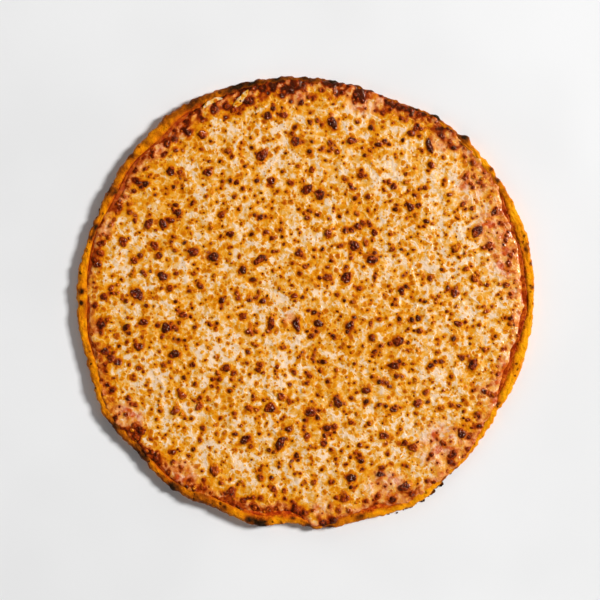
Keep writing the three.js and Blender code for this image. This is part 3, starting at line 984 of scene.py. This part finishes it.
class PIZZA_OT_cheese(bpy.types.Operator):
    """Melts the cheese over the sauce, with its lumps, folds and browned blisters"""

    bl_idname = "pizza.cheese"
    bl_label = "Melt the Cheese"

    def execute(self, context):
        sizes = context.scene.pizza.sizes
        cells = sizes.sheet_cells
        deselect()
        bpy.ops.mesh.primitive_grid_add(x_subdivisions=cells, y_subdivisions=cells, size=2)
        piece = name_piece("melted_cheese")
        bpy.ops.object.mode_set(mode="EDIT")
        bpy.ops.mesh.select_all(action="SELECT")
        bpy.ops.mesh.region_to_loop()
        for _ in range(2):
            bpy.ops.mesh.extrude_edges_move(TRANSFORM_OT_translate={"value": (0, 0, -1)})
        bpy.ops.mesh.merge(type="CENTER")
        bpy.ops.mesh.select_all(action="SELECT")
        bpy.ops.mesh.normals_make_consistent(inside=False)
        bpy.ops.object.mode_set(mode="OBJECT")

        points = points_of(piece)
        a, b, level = points[:, 0], points[:, 1], points[:, 2]
        wide = np.abs(a) >= np.abs(b)
        with np.errstate(divide="ignore", invalid="ignore"):
            turn = np.where(wide, math.pi / 4 * b / a, math.pi / 2 - math.pi / 4 * a / b)
        turn = np.nan_to_num(turn)
        reach = np.where(wide, a, b)
        bearing = np.arctan2(reach * np.sin(turn), reach * np.cos(turn))
        border, groove = cheese_border(bearing)
        radius = np.abs(reach) * border
        x, y = radius * np.cos(bearing), radius * np.sin(bearing)
        height, lip, inset = cheese_surface(x, y, sizes.cheese_lumps / MM)
        blisters = large_blisters()
        swell, bake = brown_halos(x, y, blisters + fine_blisters(blisters) + edge_blisters())
        height = np.minimum(height + swell * lip, HIGHEST)

        on_top = level > -0.5
        place_points(piece, centred(x, y, np.where(on_top, height, SAUCE_TOP)))

        streaks = smooth(0.15, 0.8, 0.5 + 0.5 * lattice(x, y, 8, 21) + 0.35 * lattice(x, y, 3.2, 22))
        sauce = np.zeros_like(x)
        for px, py, width, share in ROSY_PLACES:
            near = 1 - smooth(0.2, 0.75, np.hypot(x - px, y - py) / width)
            sauce = np.maximum(sauce, share * near)
        band = 1 - smooth(0, 9, inset + 3 * lattice(x, y, 9, 23))
        band *= 1 - 0.75 * smooth(0.7, 0.92, -np.cos(bearing - radians(5)))
        wet = groove * (1 - smooth(0.3, 2.8, inset + 0.9 * lattice(x, y, 4, 28)))
        sauce = np.clip(np.maximum(np.maximum(sauce, 0.9 * band) * (0.25 + streaks), wet), 0, 1)
        toasted = (1 - smooth(0, 6, inset + 2.5 * lattice(x, y, 6, 24))) * (1 + 1.2 * lattice(x, y, 4, 25))
        patchy = np.maximum(1 + 1.1 * lattice(x, y, 10, 26) + 1.0 * lattice(x, y, 4.5, 27), 0)
        browned = np.maximum(toasted, 0) + (1 - smooth(4, 20, inset)) * patchy
        # The crests of the folds are painted paler: partly paler cheese, partly a painted highlight along
        # them
        bake = np.clip(bake + around(SHEET_TOAST, bearing) * browned, 0, 0.9) - 0.13 * folds(x, y, 1)
        set_attributes(piece, bake=bake, sauce=sauce)
        material = cheese_material("Melted cheese", 1.0, 0.2, (1.0, 0.55, 0.2, 1.0), 0.45, 0.09)
        finish_piece(piece, material, "cheese", "cheese")
        return {"FINISHED"}


def blister_piece(name, blisters, segments, rings, rough):
    """One mesh of knobbly domes that follow the sheet under them."""
    piece, ball = new_ball(name, segments, rings)
    out = np.minimum(np.arccos(np.abs(ball[:, 2])) / (0.5 * math.pi), 1)
    bend = np.arctan2(ball[:, 1], ball[:, 0])
    dome = np.sign(ball[:, 2]) * np.sqrt(1 - out * out)
    ball = np.column_stack((out * np.cos(bend), out * np.sin(bend), dome))
    parts = []
    for n, (x, y, length, width, heading, dark) in enumerate(blisters):
        uneven = (
            1 + 0.1 * np.sin(2 * bend + TURN * draw(n, 91)) + 0.08 * np.sin(3 * bend + TURN * draw(n, 92))
            + 0.06 * np.sin(5 * bend + TURN * draw(n, 94))
        )
        along, across = turned(
            0.5 * length * ball[:, 0] * uneven, 0.5 * width * ball[:, 1] * uneven, radians(heading)
        )
        rise = min((0.26 + 0.14 * draw(n, 93)) * width, 1.7)
        parts.append(np.column_stack((
            x + along, y + across, np.where(dome > 0, rise, 0.7) * dome,
            (0.34 + 0.4 * dark) * (1 - 0.22 * smooth(0.76, 1.0, out)),
            1 - out * out, np.full_like(out, width),
        )))
    x, y, up, bake, inner, width = np.vstack(parts).T
    height, lip, _ = cheese_surface(x, y, rough)
    knobs = 1.3 * knobbly(x, y, 3, 61) + 0.3 * lattice(x, y, 1.3, 62) - 0.7
    up = np.where(up > 0, up + knobs * np.sqrt(inner) * np.clip(0.13 * width, 0, 0.9), up)
    fill(piece, centred(x, y, under_ceiling(height + up * lip)))
    # Painted light and shade: the tops of the knobs are painted lighter and the creases between them darker,
    # over the browning
    set_attributes(piece, bake=bake - 0.13 * knobs + 0.12 * lattice(x, y, 5, 63), sauce=0)
    return piece


class PIZZA_OT_blisters(bpy.types.Operator):
    """Raises the browned blisters on the cheese"""

    bl_idname = "pizza.blisters"
    bl_label = "Raise the Blisters"

    def execute(self, context):
        rough = context.scene.pizza.sizes.cheese_lumps / MM
        large = large_blisters()
        material = cheese_material("Browned blister", 0.0, 0.16, (1.0, 0.4, 0.15, 1.0), 0.65, 0.1)
        finish_piece(blister_piece("large_blisters", large, 28, 15, rough), material, "cheese")
        small = fine_blisters(large) + edge_blisters()
        finish_piece(blister_piece("small_blisters", small, 10, 7, rough), material, "cheese")
        return {"FINISHED"}


class PIZZA_OT_strands(bpy.types.Operator):
    """Lays the shreds of cheese that kept their form"""

    bl_idname = "pizza.strands"
    bl_label = "Lay the Strands"

    def execute(self, context):
        piece, ball = new_ball("cheese_strands", 14, 40)
        t = 0.5 + 0.5 * ball[:, 2]
        taper = np.clip(1 - np.abs(2 * t - 1) ** 2.5, 0, 1) ** 0.8
        away = np.maximum(np.hypot(ball[:, 0], ball[:, 1]), 1e-6)
        side, up = ball[:, 0] / away * taper, ball[:, 1] / away * taper
        parts = []
        for n, (width, first, middle, last) in enumerate(STRANDS):
            a, b, c = (np.array(place, float) for place in (first, middle, last))
            path = np.outer((1 - t) ** 2, a) + np.outer(2 * t * (1 - t), b) + np.outer(t**2, c)
            run = np.outer(1 - t, b - a) + np.outer(t, c - b)
            run /= np.hypot(run[:, 0], run[:, 1])[:, None]
            half = 0.5 * width * (1 + 0.12 * np.sin(7 * t + n) + 0.06 * np.sin(17 * t + 2 * n))
            x = path[:, 0] - run[:, 1] * side * half
            y = path[:, 1] + run[:, 0] * side * half
            parts.append(np.column_stack((x, y, path, up * half * 0.16)))
        x, y, path_x, path_y, up = np.vstack(parts).T
        height, _, _ = cheese_surface(path_x, path_y, context.scene.pizza.sizes.cheese_lumps / MM)
        height = under_ceiling(height + 0.3 + up + 0.12 * lattice(x, y, 3, 71))
        fill(piece, centred(x, y, height))
        set_attributes(piece, bake=0.12 * lattice(x, y, 3.4, 72) - 0.06, sauce=0)
        finish_piece(piece, bpy.data.materials["Melted cheese"], "cheese")
        return {"FINISHED"}


class PIZZA_OT_crumbs(bpy.types.Operator):
    """Drops the burnt crumbs that stick to the foot of the rim"""

    bl_idname = "pizza.crumbs"
    bl_label = "Drop the Crumbs"

    def execute(self, context):
        deselect()
        bpy.ops.mesh.primitive_ico_sphere_add(subdivisions=2, radius=1)
        piece = name_piece("burnt_crumbs")
        ball = points_of(piece)
        parts = []
        for degrees, spread, count in CRUMBS:
            for _ in range(count):
                n = len(parts)
                bearing = radians(degrees + spread * (draw(n, 111) + draw(n, 112) - 1))
                size = 0.8 + 1.6 * draw(n, 113) ** 2
                radius = float(outline(np.array([bearing]))[0]) - 1.6 + 4 * draw(n, 114) * draw(n, 115)
                turn = TURN * draw(n, 116)
                x, y, z = (ball * (size, 0.7 * size, 0.6 * size)).T
                lump = 1 + 0.3 * lattice(ball[:, 0] + 3 * n, ball[:, 1] + ball[:, 2], 0.9, 73)
                x, y = turned(x, y, turn)
                parts.append(np.column_stack((
                    x * lump + radius * math.cos(bearing), y * lump + radius * math.sin(bearing),
                    np.maximum(z * lump + 0.45 * size, 0),
                )))
        x, y, z = np.vstack(parts).T
        fill(piece, centred(x, y, z))
        set_attributes(piece, bake=0.72 + 0.25 * lattice(x, y, 3, 74), sauce=0)
        finish_piece(piece, bpy.data.materials["Baked dough"], "crust")
        return {"FINISHED"}


class PIZZA_OT_stage(bpy.types.Operator):
    """Sets the floor, the soft lights and the camera over the pizza"""

    bl_idname = "pizza.stage"
    bl_label = "Set the Stage"

    def execute(self, context):
        colours = context.scene.pizza.colours
        deselect()
        bpy.ops.mesh.primitive_plane_add(size=8, location=(0, 0, 0))
        floor = name_piece("floor")
        material, tree, shader, vector = new_material("Pale floor", {"Roughness": 0.9})
        haze = step(tree, cloud(tree, vector, 6).outputs["Fac"], 0.3, 0.7)
        feed(tree, shader, {"Base Color": blend(tree, haze, colours.floor, shade(234, 234, 234))})
        floor.data.materials.append(material)
        floor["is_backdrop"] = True

        world = bpy.data.worlds.new("Studio")
        context.scene.world = world
        world.use_nodes = True
        backing = world.node_tree.nodes["Background"]
        backing.inputs["Color"].default_value = (1, 1, 1, 1)
        backing.inputs["Strength"].default_value = 0.04

        for name, place, size, power in LIGHTS:
            bpy.ops.object.light_add(type="AREA", location=place)
            light = bpy.context.object
            light.name = name
            light.data.size = size
            light.data.energy = power
            light.rotation_euler = Vector(place).to_track_quat("Z", "Y").to_euler()
            light.visible_glossy = name == "key_light"

        bpy.ops.object.camera_add(location=CAMERA_PLACE)
        camera = bpy.context.object
        camera.data.lens = CAMERA_LENS
        camera.data.sensor_width = 36
        camera.data.clip_end = 20
        context.scene.camera = camera
        context.scene.view_settings.view_transform = "Standard"
        return {"FINISHED"}


class PIZZA_PT_panel(bpy.types.Panel):
    """The steps of making the pizza, in order"""

    bl_idname = "PIZZA_PT_panel"
    bl_label = "Cheese Pizza"
    bl_space_type = "VIEW_3D"
    bl_region_type = "UI"
    bl_category = "Pizza"

    def draw(self, context):
        layout = self.layout
        for step_class in STEPS:
            layout.operator(step_class.bl_idname)
        settings = context.scene.pizza
        for group in (settings.sizes, settings.colours):
            box = layout.box()
            for name in group.__annotations__:
                box.prop(group, name)


STEPS = (
    PIZZA_OT_stage, PIZZA_OT_crust, PIZZA_OT_sauce, PIZZA_OT_cheese, PIZZA_OT_blisters, PIZZA_OT_strands,
    PIZZA_OT_crumbs,
)
CLASSES = (PizzaSizes, PizzaColours, PizzaSettings, *STEPS, PIZZA_PT_panel)


def register():
    for cls in CLASSES:
        bpy.utils.register_class(cls)
    bpy.types.Scene.pizza = PointerProperty(type=PizzaSettings)


def unregister():
    del bpy.types.Scene.pizza
    for cls in reversed(CLASSES):
        bpy.utils.unregister_class(cls)


def main():
    register()
    for step_class in STEPS:
        area, name = step_class.bl_idname.split(".")
        getattr(getattr(bpy.ops, area), name)()
    boxes = {"cad": CAD_BOX, "visual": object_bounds()}
    boxes = {name: [list(map(float, corner)) for corner in box] for name, box in boxes.items()}


if __name__ == "__main__":
    main()
